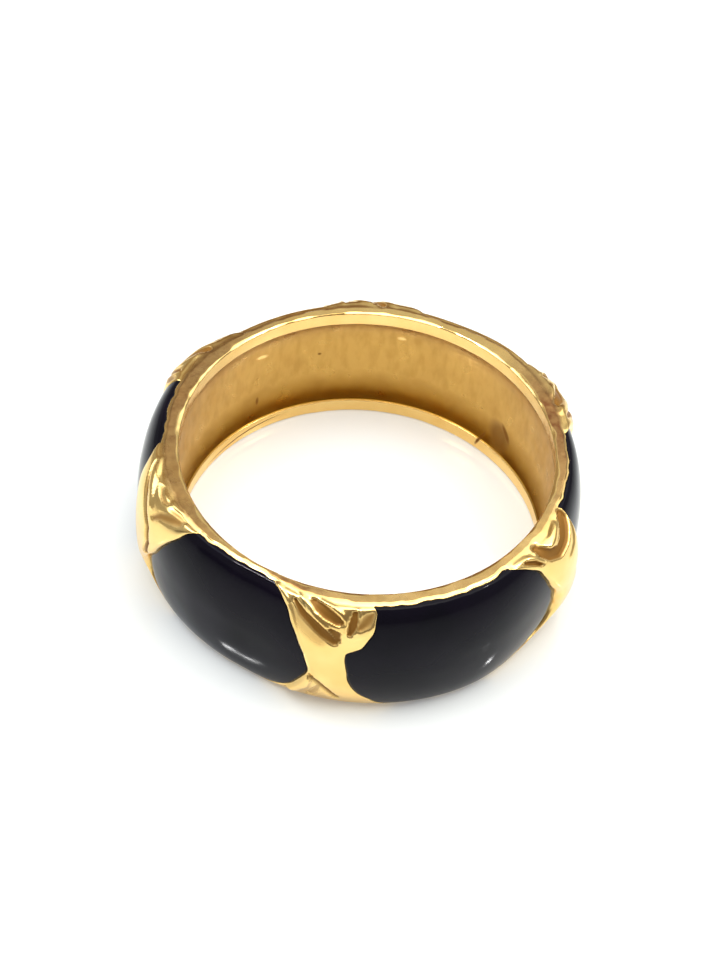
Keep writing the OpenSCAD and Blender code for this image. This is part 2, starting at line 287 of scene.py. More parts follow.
# Painted shade in the hollow, which stands for the dark reflection above the lower lip: its
# height above the lower rim at the sides and at the back, how far that wavers, and how far in
# front of the ring's axis it starts to rise, in millimetres. It fades out between two shares of
# its height.
SHADE_SIDE = 1.1
SHADE_BACK = 2.1
SHADE_WAVER = 0.7
SHADE_START = 4
SHADE_FADE = (0.45, 1.0)
SHADE_MOST = 0.85

# Marks on the finger hole's wall. The dirty ones are a nick across the lower lip, a smudge and its
# streak, a scribed line and two dots, and the bright ones are two burnished dents, set where two
# glints fall: there the hollow's painted shade and satin are left out, so they show as painted
# highlights.
MARKS = (  # azimuth, height, turn, half length, half width, strength
    (140.6, 0.72, 69, 0.55, 0.1, 1),
    (132.4, 1.83, -46, 0.66, 0.18, 0.85),
    (134.5, 1.45, -50, 1, 0.7, 0.6),
    (-132.5, 0.37, 3.6, 2.9, 0.05, 0.95),
    (-141.4, 1.6, 75, 0.26, 0.1, 0.75),
    (-162.5, 3.6, 0, 0.12, 0.1, 0.7),
)
GLINT_DENTS = (
    (-143.2, 4.42, -8, 0.4, 0.15, 1),
    (172.4, 4.83, 0, 0.26, 0.15, 1),
)
MARK_DEPTH = 3  # of the wall, which a mark reaches through
MARK_CORE = 0.5  # share of a mark over which it has its full strength

# Glass and acrylic
ENAMEL_IOR = 1.5
ENAMEL_SPECULAR = 0.08
ACRYLIC_IOR = 1.49
ACRYLIC_ROUGHNESS = 0.08
ACRYLIC_LIGHT = "#fbfdff"
TABLE_SIZE = 3.0

# The studio's surroundings: a dim grey room (tint, radiance) with broad soft patches
ROOM = ("#ffffff", 0.42)
PATCHES = (  # azimuth and elevation of the middle, angular radius, tint, radiance
    (10, 25, 50, "#fff6ee", 0.24),  # the dark side of the room, in front
    (-57, 2, 16, "#e8e0ff", 0.03),  # a black flag on the left
    (180, 14, 30, "#ffd8c0", 0.24),  # the back wall
    (-160, 42, 26, "#ffe9d0", 0.36),  # the wall above it, on the left
    (160, 45, 30, "#ffffff", 0.62),  # and on the right
    (120, 60, 34, "#f4f8ff", 2.3),  # a large window, high on the right
    (-100, 62, 24, "#e6f0ff", 3.5),  # a smaller one on the left
    (90, 66, 22, "#ffffff", 3.4),  # a bright skylight on the right
    (0, 86, 27, "#fffaf2", 4.2),  # the ceiling light
)
PATCH_CORE = 0.6  # share of a patch's radius over which it has its full radiance

# Small ceiling lamps. The table mirrors them, and the enamel shows those images as glints.
LAMPS = (  # name, azimuth, elevation, width and depth in metres, radiance
    ("left_lamp", -71.4, 60.1, 0.046, 0.014, 640),
    ("right_lamp", 90, 57, 0.03, 0.02, 480),
    ("far_right_lamp", 76, 51, 0.03, 0.02, 20),
    ("front_lamp", -18, 64, 0.03, 0.02, 60),
)
LAMP_DISTANCE = 0.7

# The camera's clipping in metres, and how far the middle of the ring's foot lies right of and above
# the picture's middle, in millimetres
CLIP_START = 0.005
CLIP_END = 20.0
AIM_ACROSS = 0.216
AIM_UP = -2.886

# Light paths: glossy bounces that gold needs to mirror gold
MOST_BOUNCES = 12
GLOSSY_BOUNCES = 10


def in_mm(group):
    """The sizes of a property group in millimetres, by name."""
    return {name: getattr(group, name) / MM for name in group.__annotations__}


def ring_sizes(scene):
    """The ring's sizes in millimetres, and the scale of the unrolled dome."""
    ring = SimpleNamespace(**in_mm(scene.ring_band), **in_mm(scene.ring_enamel))
    ring.equator = ring.hole_radius + ring.rim_width + (ring.dome + ring.crest) / 2
    ring.degrees_per_mm = 180 / (math.pi * ring.equator)
    return ring


def sin(angle):
    return np.sin(np.radians(angle))


def cos(angle):
    return np.cos(np.radians(angle))


def mix(a, b, t):
    return a + (b - a) * t


def smooth(t):
    """A soft step from 0 at 0 to 1 at 1."""
    t = np.clip(t, 0, 1)
    return t * t * (3 - 2 * t)


def curve_through(x, table, column=1):
    """A smooth curve through a table's column, which never runs past it between two rows."""
    xs, ys = table[:, 0], table[:, column]
    steps = np.diff(ys) / np.diff(xs)
    before, after = steps[:-1], steps[1:]
    turning = before * after <= 0
    middle = np.where(turning, 0, 2 * before * after / np.where(turning, 1, before + after))
    slopes = np.concatenate(([steps[0]], middle, [steps[-1]]))
    k = np.clip(np.searchsorted(xs, x, side="right") - 1, 0, len(xs) - 2)
    wide = xs[k + 1] - xs[k]
    t = np.clip((x - xs[k]) / wide, 0, 1)
    start = ys[k] * (1 + 2 * t) * (1 - t) ** 2 + slopes[k] * wide * t * (1 - t) ** 2
    end = ys[k + 1] * t**2 * (3 - 2 * t) - slopes[k + 1] * wide * t**2 * (1 - t)
    return start + end


def rim_waves(azimuth):
    """How far a hand-filed edge wanders, as a share of the waver."""
    return sum(share * sin(azimuth * count + count) for count, share in RIM_WAVES)


def panel_edge(lat):
    """Latitude of the pockets' upper or lower edge, before it wavers."""
    return np.where(lat > 0, PANEL_TOP, PANEL_FOOT)


def turned(azimuth):
    return (azimuth + 180) % 360 - 180


def rim_r(ring, azimuth, lat):
    """Radius of the flat rims' outer edge, from which the dome and the dividers rise."""
    upper, lower = (curve_through(turned(azimuth), RIM, side) for side in (1, 2))
    filed = ring.rim_width * mix(upper, lower, np.minimum(sin(lat), 0) ** 2)
    edge = panel_edge(lat)
    ragged = smooth((np.abs(lat) - edge) / (90 - edge))
    return ring.hole_radius + filed + ring.waver * rim_waves(azimuth) * ragged


def rise(lat):
    """Height above mid band, as a share of half the band."""
    return np.sign(lat) * np.abs(sin(lat)) ** HEIGHT_POWER


def chart_y(ring, lat):
    """Height above mid band along the unrolled dome."""
    return ring.band_height / 2 * rise(lat) + np.sign(lat) * ring.dome * (1 - cos(lat))


def dome_z(ring, lat):
    """Height above the lower rim, with the dome filed down to a bevel near the rims."""
    filed = ring.bevel * np.clip(1 - ((np.abs(lat) - BEVEL_LAT) / BEVEL_FADE) ** 2, 0, 1)
    return ring.band_height / 2 * (1 + rise(lat)) - np.sign(lat) * filed


def edge_azimuth(ring, i, side, lat):
    """Azimuth of the left (side 0) or right (side 1) edge of divider i."""
    divider = DIVIDERS[i % SECTORS]
    y = chart_y(ring, np.clip(lat, -EDGE_LAT, EDGE_LAT))
    own = OWN_EDGE.get((divider.leaf, side))
    x = curve_through(y, OUTLINE, own or LEAF_EDGES[side])
    if own is None:
        waist_y, waist_x = (WAIST_LEFT, WAIST_RIGHT)[side]
        above, below = ((divider.arm, divider.left_foot), (divider.lobe, divider.right_foot))[side]
        if side:
            plain = curve_through(y, OUTLINE, UNNOTCHED_EDGE)
            x = mix(plain, x, divider.notch)
        x = waist_x + (x - waist_x) * np.where(y > waist_y, above, below)
        x = x + divider.lean * (1 - (y / CHART_TOP) ** 2)
    phase = divider.azimuth + 90 * side
    x = x + ring.waver * sum(share * sin(y * wave + phase) for wave, share in EDGE_WAVES)
    return divider.azimuth + 360 * (i // SECTORS) + x * ring.degrees_per_mm


def dome_out(ring, i, lat):
    power = np.where(lat > 0, DOME_POWER, LOW_DOME_POWER)
    return ring.dome * PANELS[i % SECTORS] * np.abs(cos(lat)) ** power


def crest_out(ring, i, lat):
    divider = DIVIDERS[i]
    power = np.where(lat > 0, CREST_POWER, FOOT_POWERS[divider.leaf])
    return ring.crest * divider.crest * np.abs(cos(lat)) ** power


def stroke(x, y, points):
    """How much of a stroke's height each point gets: all on its line, none at its half width."""
    best = np.zeros_like(x)
    for (x0, y0, w0), (x1, y1, w1) in zip(points, points[1:]):
        dx, dy = x1 - x0, y1 - y0
        t = np.clip(((x - x0) * dx + (y - y0) * dy) / (dx * dx + dy * dy), 0, 1)
        off = np.hypot(x - x0 - t * dx, y - y0 - t * dy)
        best = np.maximum(best, 1 - (off / mix(w0, w1, t)) ** 2)
    return best


def carving(leaf, x, y):
    """Height of a leaf's ribs and depth of its grooves, as shares of the deepest groove."""
    ribs, grooves = np.zeros_like(x), np.zeros_like(x)
    for height, crispness, *points in LEAVES[leaf]:
        cut = height * smooth(crispness * stroke(x, y, points))
        ribs, grooves = np.maximum(ribs, cut), np.maximum(grooves, -cut)
    return ribs, grooves


def dome_lats(ring):
    """Latitudes of the dome's rows, evenly spaced along it, and closer where it is carved."""
    lat = np.linspace(-PANEL_FOOT, PANEL_TOP, ROW_SAMPLES * DOME_ROWS)
    path = np.hypot(np.diff(ring.dome * cos(lat)), np.diff(ring.band_height / 2 * rise(lat)))
    path = path * np.where(lat[1:] > CARVED_LAT, CARVED_DENSITY, 1)
    travelled = np.concatenate(([0], np.cumsum(path)))
    return np.interp(np.linspace(0, travelled[-1], DOME_ROWS + 1), travelled, lat)


def shares(count):
    """Shares across a divider or a panel, closer near its edges."""
    t = np.linspace(0, 1, count + 1)
    return mix(t, (1 - np.cos(math.pi * t)) / 2, EDGE_CROWDING)


def wavering(ring, lat, azimuth):
    """Moves the rows a little, so that the pockets' upper and lower edges waver."""
    limit = panel_edge(lat)
    lat_per_mm = 180 / math.pi / np.hypot(ring.dome * sin(limit), ring.band_height / 2 * cos(limit))
    level = np.where(lat > 0, curve_through(turned(azimuth), TOPS), PANEL_FOOT)
    edge = level - ring.waver * (1 + rim_waves(azimuth)) * lat_per_mm
    inside = lat * edge / limit
    outside = np.sign(lat) * (90 - (90 - np.abs(lat)) * (90 - edge) / (90 - limit))
    return np.where(np.abs(lat) <= limit, inside, outside)


def grid(ring, first, last, lats, t, inset=0):
    """Latitude and azimuth of the points between two edges, each a divider and its side."""
    lat = lats[:, None] + 0 * t
    nominal = mix(edge_azimuth(ring, *first, lat), edge_azimuth(ring, *last, lat), t)
    lat = wavering(ring, lat, nominal)
    left = edge_azimuth(ring, *first, lat) + inset * ring.degrees_per_mm
    right = edge_azimuth(ring, *last, lat) - inset * ring.degrees_per_mm
    return lat, mix(left, right, t)


def divider_points(ring, i, lats):
    """The gold of divider i: azimuth, radius, height and recess of each point."""
    divider = DIVIDERS[i]
    u = shares(GOLD_COLUMNS)
    lat, azimuth = grid(ring, (i, 0), (i, 1), lats, u)
    base = mix(dome_out(ring, i - 1, lat), dome_out(ring, i, lat), u)
    swell = np.sqrt(1 - np.abs(2 * u - 1) ** ROUND_EDGE)
    out = mix(base, np.maximum(crest_out(ring, i, lat), base), swell)
    across = (azimuth - divider.azimuth) / ring.degrees_per_mm
    ribs, grooves = carving(divider.leaf, across, chart_y(ring, lat))
    width = (azimuth[:, -1:] - azimuth[:, :1]) / ring.degrees_per_mm
    fade = smooth(np.minimum(u, 1 - u) * width / CARVED_MARGIN)
    fade = fade * smooth((90 - np.abs(lat)) / (90 - EDGE_LAT))
    relief = (ribs - grooves) * fade * ring.carving * divider.cut
    lean_r, lean_z = ring.band_height / 2 * cos(lat), ring.dome * sin(lat)
    steepness = np.hypot(lean_r, lean_z)
    r = rim_r(ring, azimuth, lat) + out + relief * lean_r / steepness
    z = np.clip(dome_z(ring, lat) + relief * lean_z / steepness, 0, ring.band_height)
    return azimuth, r, z, grooves * fade


def panel_points(ring, i, lats, inset, sink=0):
    """The dome over panel i, sunk a little along its edges."""
    lat, azimuth = grid(ring, (i, 1), (i + 1, 0), lats, shares(PANEL_COLUMNS), inset)
    r = rim_r(ring, azimuth, lat) + dome_out(ring, i, lat) - sink * cos(lat)
    return azimuth, r, dome_z(ring, lat) - sink * sin(lat)


def floor_points(ring, i, lats, inset, lift=0):
    """The floor of the pocket of panel i, or the enamel's underside just above it."""
    lat, azimuth = grid(ring, (i, 1), (i + 1, 0), lats, shares(PANEL_COLUMNS), inset)
    r = ring.hole_radius + ring.floor_wall + (ring.dome - ring.pocket_depth) * cos(lat)
    z = ring.band_height / 2 + (ring.band_height / 2 - ring.pocket_rim) * rise(lat)
    return azimuth, r + lift * cos(lat), z + lift * sin(lat)


def rounded(corners):
    """A profile through corners of (radius, height, fillet), each fillet a short curve."""
    path = []
    for before, corner, after in zip(corners, corners[1:], corners[2:]):
        here = np.array(corner[:2])
        fillet = corner[2]
        arms = [np.array(p[:2]) - here for p in (before, after)]
        start, end = (here + arm / np.linalg.norm(arm) * fillet for arm in arms)
        for t in np.linspace(0, 1, FILLET_STEPS if fillet else 1):
            path.append(mix(mix(start, here, t), mix(here, end, t), t))
    return path


def hole_profile(ring):
    """The finger hole's profile from its upper mouth to its lower one, as (radius, height)."""
    h, top = ring.lip_height, ring.band_height
    lip, mouth = ring.hole_radius, ring.hole_radius + ring.mouth
    wall = []
    for t in (1 + np.cos(math.pi * np.linspace(0, 1, HOLLOW_STEPS))) / 2:
        bulge = 1 - abs(2 * t - 1) ** HOLLOW_POWER
        deep = mix(ring.lip_step, ring.hollow_depth, bulge)
        wall.append((lip + deep, mix(h, top - h, t), 0))
    soft = ring.fillet
    upper = [(mouth + soft, top, 0), (mouth, top, soft / 2), (lip, top - ring.mouth_drop, soft / 2),
             (lip, top - h, soft)]
    lower = [(r, top - z, fillet) for r, z, fillet in reversed(upper)]
    ends = [(*wall[end][:2], soft) for end in (0, -1)]
    return np.array(rounded(upper + ends[:1] + wall[1:-1] + ends[1:] + lower))


def worn_mouth(azimuth):
    """How wide the finger hole's mouth is worn, as a share of its mean chamfer."""
    rim_share = curve_through(turned(azimuth), RIM)
    waves = 1 + MOUTH_WEAR * rim_waves(MOUTH_PACE * azimuth + MOUTH_PHASE)
    return np.clip(waves, *MOUTH_SHARES) * np.minimum(rim_share, 1)


def dullness_and_shade(azimuth):
    return curve_through(turned(azimuth), DULL_AND_SHADE)


def band_grid(ring):
    """The whole band as one grid of points, with rows up the dome, over the upper rim, down the
    finger hole and back under the lower rim: azimuth, radius, height, recess, inside and dull, the
    last of which also browns the rims as a painted reflection."""
    lats = np.concatenate((-np.array(FOOT_LATS[::-1]), dome_lats(ring), TOP_LATS))
    limit = panel_edge(lats)
    over_pocket = (np.abs(lats) <= limit)[:, None]
    blocks = []
    for i in range(SECTORS):
        blocks.append(divider_points(ring, i, lats))
        skin = panel_points(ring, i, lats, ring.draft)
        floor = floor_points(ring, i, lats, ring.draft)
        panel = [np.where(over_pocket, a, b) for a, b in zip(floor, skin)]
        blocks.append((*panel, 0 * panel[0]))
    azimuth, r, z, recess = (np.concatenate(part, axis=1) for part in zip(*blocks))
    flat = smooth((np.abs(lats) - limit) / (90 - limit))[:, None]
    rows = [(azimuth, r, z, recess, 0 * r, flat * dullness_and_shade(azimuth))]

    upper, lower = azimuth[-1:], azimuth[:1]
    blank = 0 * upper
    worn = [worn_mouth(edge) for edge in (upper, lower)]

    def rim_rows(edge, outer, wear, height):
        mouth = ring.hole_radius + (ring.mouth + ring.fillet) * wear
        return [(edge, mix(outer, mouth, part), blank + height, blank, blank, dullness_and_shade(edge))
                for part in RIM_SHARES]

    rows += rim_rows(upper, r[-1:], worn[0], ring.band_height)
    hole = hole_profile(ring)
    middle = ring.band_height / 2
    for k, (radius, height) in enumerate(hole):
        down = mix(upper, lower, k / (len(hole) - 1))
        inside = 0
        if abs(height - middle) < middle - ring.lip_height / 2:
            inside = smooth((radius - ring.hole_radius) / ring.lip_step)
        else:
            radius = mix(ring.hole_radius, radius, worn[int(height < middle)])
        rows.append((down, blank + radius, blank + height, blank, blank + inside, blank))
    rows += reversed(rim_rows(lower, r[:1], worn[1], 0))
    azimuth, *rest = (np.concatenate(part) for part in zip(*rows))
    seam = [part[:, :1] for part in (azimuth + 360, *rest)]
    return [np.concatenate(part, axis=1) for part in zip((azimuth, *rest), seam)]


def grid_faces(rows, columns, closed=False):
    """Quads of a grid of points, which is closed where its last row meets its first."""
    j = np.arange(rows if closed else rows - 1)[:, None]
    k = np.arange(columns - 1)[None, :]
    here, above = j * columns + k, (j + 1) % rows * columns + k
    return np.stack((here, here + 1, above + 1, above), axis=-1).reshape(-1, 4)


def slab_faces(rows, columns):
    """Quads of a closed slab whose two sides are grids of the same size."""
    count = rows * columns
    index = np.arange(count).reshape(rows, columns)
    face = grid_faces(rows, columns)
    rim = np.concatenate((index[0], index[1:, -1], index[-1, -2::-1], index[-2:0:-1, 0]))
    ahead = np.roll(rim, -1)
    wall = np.stack((rim, rim + count, ahead + count, ahead), axis=-1)
    return np.concatenate((face, face[:, ::-1] + count, wall))


def plug(tree, made, inputs):
    """Sets the inputs of a node to values, or links them."""
    for name, value in inputs.items() if isinstance(inputs, dict) else enumerate(inputs):
        if isinstance(value, bpy.types.NodeSocket):
            tree.links.new(value, made.inputs[name])
        else:
            made.inputs[name].default_value = value


def node(tree, kind, inputs=(), out=0, **settings):
    """Adds a node with its settings and its inputs, by name or in order, and gives one of its
    outputs, or all if out is None."""
    made = tree.nodes.new(kind)
    for name, value in settings.items():
        setattr(made, name, value)
    plug(tree, made, inputs)
    return made.outputs if out is None else made.outputs[out]


def colour(code):
    """The linear colour of an sRGB hex value."""
    parts = [int(code[k : k + 2], 16) / 255 for k in (1, 3, 5)]
    linear = [c / 12.92 if c <= 0.04045 else ((c + 0.055) / 1.055) ** 2.4 for c in parts]
    return (*linear, 1.0)


def added(name, data):
    """A new object in the scene."""
    made = bpy.data.objects.new(name, data)
    bpy.context.scene.collection.objects.link(made)
    return made


def bend_tree():
    """A flat strip, bent round the finger. Its length runs along X and it faces -Y, and a point's
    distance in front of the X axis becomes its distance from the ring's axis. A slow unevenness,
    as of a hand-filed casting, only moves a point inwards."""
    tree = bpy.data.node_groups.new("Bend round the finger", "GeometryNodeTree")
    for kind, names in BEND_INPUTS.items():
        for name in names:
            tree.interface.new_socket(name, in_out="INPUT", socket_type=kind)
    tree.interface.new_socket("Geometry", in_out="OUTPUT", socket_type="NodeSocketGeometry")
    given = node(tree, "NodeGroupInput", out=None)
    flat = node(tree, "GeometryNodeInputPosition")
    across, deep, up = node(tree, "ShaderNodeSeparateXYZ", [flat], None)
    angle = node(tree, "ShaderNodeMath", (across, given["Neutral Radius"]), operation="DIVIDE")
    spoke = node(tree, "ShaderNodeCombineXYZ", {"Y": deep, "Z": up})
    bent = node(tree, "ShaderNodeVectorRotate", {"Vector": spoke, "Angle": angle},
                rotation_type="Z_AXIS")
    grain = node(tree, "ShaderNodeMath", (1.0, given["Unevenness Size"]), operation="DIVIDE")
    field = {"Vector": bent, "W": given["Seed"], "Scale": grain, "Detail": CASTING_DETAIL}
    noise = node(tree, "ShaderNodeTexNoise", field, "Color", noise_dimensions="4D")
    in_share, up_share, _ = node(tree, "ShaderNodeSeparateXYZ", [noise], None)
    half = node(tree, "ShaderNodeMath", (given["Height"], 0.5), operation="MULTIPLY")
    above = node(tree, "ShaderNodeMath", (up, half), operation="DIVIDE")
    to_middle = node(tree, "ShaderNodeMath", (1.0, above), operation="SUBTRACT")
    most = node(tree, "ShaderNodeMath", (up_share, given["Unevenness"]), operation="MULTIPLY")
    inwards, upwards = (
        node(tree, "ShaderNodeMath", terms, operation="MULTIPLY_ADD")
        for terms in ((in_share, given["Unevenness"], deep), (to_middle, most, up))
    )
    uneven = node(tree, "ShaderNodeCombineXYZ", {"Y": inwards, "Z": upwards})
    place = node(tree, "ShaderNodeVectorRotate", {"Vector": uneven, "Angle": angle},
                 rotation_type="Z_AXIS")
    made = given["Geometry"]
    for kind, inputs in (
        ("GeometryNodeSetPosition", {"Position": place}),
        ("GeometryNodeMergeByDistance", {"Distance": given["Weld Distance"]}),
        ("GeometryNodeSetShadeSmooth", {}),
        ("GeometryNodeRealizeInstances", {}),
        ("GeometryNodeSetMaterial", {"Material": given["Material"]}),
    ):
        made = node(tree, kind, {"Geometry": made, **inputs})
    node(tree, "NodeGroupOutput", [made], None)
    return tree


def bent_piece(name, ring, grids, faces, material, layers=None):
    """Makes a flat strip from grids of (azimuth, radius, height) and bends it round the finger."""
    points = [
        np.stack((np.radians(azimuth) * ring.equator, -r, z + 0 * r), axis=-1).reshape(-1, 3)
        for azimuth, r, z in grids
    ]
    strip = bpy.data.meshes.new(name + "_strip")
    strip.from_pydata((np.concatenate(points) * MM).tolist(), [], faces.tolist())
    for layer, values in (layers or {}).items():
        strip.attributes.new(layer, "FLOAT", "POINT").data.foreach_set("value", values.ravel())
    piece = added(name, strip)
    tree = bpy.data.node_groups.get("Bend round the finger") or bend_tree()
    bend = piece.modifiers.new("Bend", "NODES")
    bend.node_group = tree
    settings = {
        "Neutral Radius": ring.equator * MM,
        "Height": ring.band_height * MM,
        "Unevenness": ring.unevenness * MM,
        "Unevenness Size": ring.unevenness_size * MM,
        "Seed": CASTING_SEED,
        "Weld Distance": WELD_DISTANCE,
        "Material": material,
    }
    for item in tree.interface.items_tree:
        if item.name in settings:
            bend[item.identifier] = settings[item.name]
    graph = bpy.context.evaluated_depsgraph_get()
    bent = bpy.data.meshes.new_from_object(
        piece.evaluated_get(graph), preserve_all_data_layers=True, depsgraph=graph)
    piece.modifiers.remove(bend)
    piece.data = bent
    bpy.data.meshes.remove(strip)
    bent.name = name
    return piece


def number(name, value, description, **settings):
    return bpy.props.FloatProperty(name=name, description=description, default=value, **settings)


def length(name, mm, description):
    """A size that is given in millimetres and kept in metres."""
    return number(name, mm * MM, description, min=0, precision=5, unit="LENGTH",
                  subtype="DISTANCE")


def fraction(name, value, description):
    return number(name, value, description, min=0, max=1, subtype="FACTOR")


def degrees(name, value, description):
    return number(name, math.radians(value), description, unit="ROTATION", subtype="ANGLE")


def tint(name, code, description):
    return bpy.props.FloatVectorProperty(name=name, description=description, default=colour(code),
                                         size=4, min=0, max=1, subtype="COLOR")


class BandSizes(bpy.types.PropertyGroup):
    """Sizes of the gold band."""

    band_height: length("Height", BAND_HEIGHT / MM, "Height of the band, along the finger")
    hole_radius: length("Finger hole", HOLE_RADIUS / MM, "Radius of the finger hole at its lips")
    lip_height: length("Lip height", 0.73, "Height of each lip of the finger hole")
    lip_step: length("Lip step", 0.08, "Step from a lip out to the hollow between the lips")
    hollow_depth: length("Hollow", 0.56, "Depth of the hollow at mid height, beyond the lips")
    mouth: length("Mouth chamfer", 0.1, "Width of the worn chamfer at the finger hole's mouths")
    mouth_drop: length("Mouth drop", 0.05, "Height of the chamfer at the finger hole's mouths")
    fillet: length("Fillet", 0.05, "How far the corners inside the finger hole are worn round")
    rim_width: length("Rim width", 0.45, "Mean width of the two flat rims")
    dome: length("Dome", 1.1, "How far the enamel's dome stands out beyond the flat rims")
    crest: length("Crest", 1.46, "How far a divider's crest stands out beyond the flat rims")
    carving: length("Carving", 0.22, "Depth of the deepest carved groove")
    bevel: length("Bevel", 0.045, "How far the dome is filed down beside the flat rims")
    waver: length("Waver", 0.05, "How far the hand-cut edges waver")
    unevenness: length("Unevenness", 0.025, "How uneven the filed casting is")
    unevenness_size: length("Unevenness size", 2.4, "Distance between two dips of the casting")


class EnamelSizes(bpy.types.PropertyGroup):
    """Sizes of the six enamel panels and their pockets."""

    pocket_depth: length("Pocket depth", 0.75, "Depth of a pocket's floor below the dome")
    pocket_rim: length("Pocket rim", 0.33, "Gold left above and below a pocket")
    floor_wall: length("Floor wall", 0.53, "Gold left behind a pocket's floor")
    draft: length("Draft", 0.05, "How far a pocket is narrower at its floor")
    seam: length("Seam", 0.004, "Clearance between the enamel and the gold along its edge")
    sink: length("Sink", 0.012, "How far the enamel lies below the gold along its edge")
    lift: length("Lift", 0.03, "Clearance under the enamel")


class Finish(bpy.types.PropertyGroup):
    """Colours and polish of the gold and the enamel."""

    gold: tint("Gold", "#f8d488", "Colour of the polished gold")
    # Unpolished gold, darkened as painted shade inside the finger hole
    hollow: tint("Hollow", "#cea357", "Colour of the unpolished gold inside the finger hole")
    # Polishing residue in the carving, whose brown also serves as painted shade in the cuts
    residue: tint("Residue", "#86560c", "Polishing residue that is left in the carving")
    # Brown of the flat rims, partly wear and partly a painted dark reflection
    worn: tint("Worn rim", "#8e5e38", "Colour of the flat rims where they are worn dull")
    # Painted shade above the lower lip, standing for the dark reflection there
    hollow_shade: tint("Stain", "#8a5c02", "Stain above the lower lip of the finger hole")
    polish: fraction("Polished roughness", 0.19, "Roughness of the outside and of the lips")
    satin: fraction("Satin roughness", 0.34, "Roughness of the hollow inside the finger hole")
    enamel: tint("Enamel", "#0f0e15", "Colour of the black enamel")
    gloss: fraction("Enamel roughness", 0.05, "Roughness of the fired enamel")


class Studio(bpy.types.PropertyGroup):
    """The camera, the table and the lights."""

    elevation: degrees("Elevation", 48.426, "Height of the camera above the horizon")
    roll: degrees("Roll", -5.088, "Turn of the camera about its line of sight")
    distance: length("Distance", 101.153, "Distance from the camera to the ring's foot")
    lens: number("Lens", 80.1, "Focal length of the camera", min=1, unit="CAMERA")
    table: tint("Table", "#edf1f0", "Colour of the acrylic table top")
    glow: number("Glow", 0.18, "Light that the table gives off", min=0)
    exposure: number("Exposure", 0.0, "Exposure of the picture, in stops", soft_min=-3, soft_max=3)


def new_material(name):
    """A material with its node tree and its shader."""
    material = bpy.data.materials.new(name)
    material.use_nodes = True
    tree = material.node_tree
    return material, tree, tree.nodes["Principled BSDF"]


def patterned(tree, place, patterns):
    """The value of each noise pattern in a table, by name."""
    values = {}
    for name, (across, up, detail, first, last, low, high) in patterns.items():
        scale = [1 / (size * MM) for size in (across, across, up)]
        scaled = node(tree, "ShaderNodeMapping", {"Vector": place, "Scale": scale})
        field = {"Vector": scaled, "Scale": 1.0, "Detail": detail}
        noise = node(tree, "ShaderNodeTexNoise", field)
        values[name] = node(tree, "ShaderNodeMapRange", (noise, first, last, low, high))
    return values


def wall_marks(tree, place, marks):
    """How much of some marks on the finger hole's wall each point gets."""
    marked = 0.0
    for azimuth, height, turn, along, up, strength in marks:
        settings = {
            "Vector": place,
            "Location": towards(azimuth, 0) * HOLE_RADIUS + Vector((0, 0, height * MM)),
            "Rotation": (0, math.radians(turn), math.radians(azimuth)),
            "Scale": [part * MM for part in (along, MARK_DEPTH, up)],
        }
        inner = node(tree, "ShaderNodeMapping", settings, vector_type="TEXTURE")
        far = node(tree, "ShaderNodeVectorMath", [inner], "Value", operation="LENGTH")
        mark = node(tree, "ShaderNodeMapRange", (far, MARK_CORE, 1, strength, 0))
        marked = node(tree, "ShaderNodeMath", (marked, mark), operation="MAXIMUM")
    return marked


def hollow_shade_and_streaks(tree, place, inside, noise):
    """Painted shade in the hollow above the lower lip, standing for the dark reflection there, most
    at the back, with faint streaks that run up the hollow."""
    _, deep, up = node(tree, "ShaderNodeSeparateXYZ", [place], None)
    top = node(tree, "ShaderNodeMapRange",
               (deep, -SHADE_START * MM, HOLE_RADIUS, SHADE_SIDE * MM, SHADE_BACK * MM))
    wavy = node(tree, "ShaderNodeMath", (noise["waver"], SHADE_WAVER * MM, top),
                operation="MULTIPLY_ADD")
    share_up = node(tree, "ShaderNodeMath", (up, wavy), operation="DIVIDE")
    hollow_shade = node(tree, "ShaderNodeMapRange", (share_up, *SHADE_FADE, SHADE_MOST, 0))
    both = node(tree, "ShaderNodeMath", (hollow_shade, noise["streaks"]), operation="MAXIMUM")
    return node(tree, "ShaderNodeMath", (both, inside), operation="MULTIPLY")


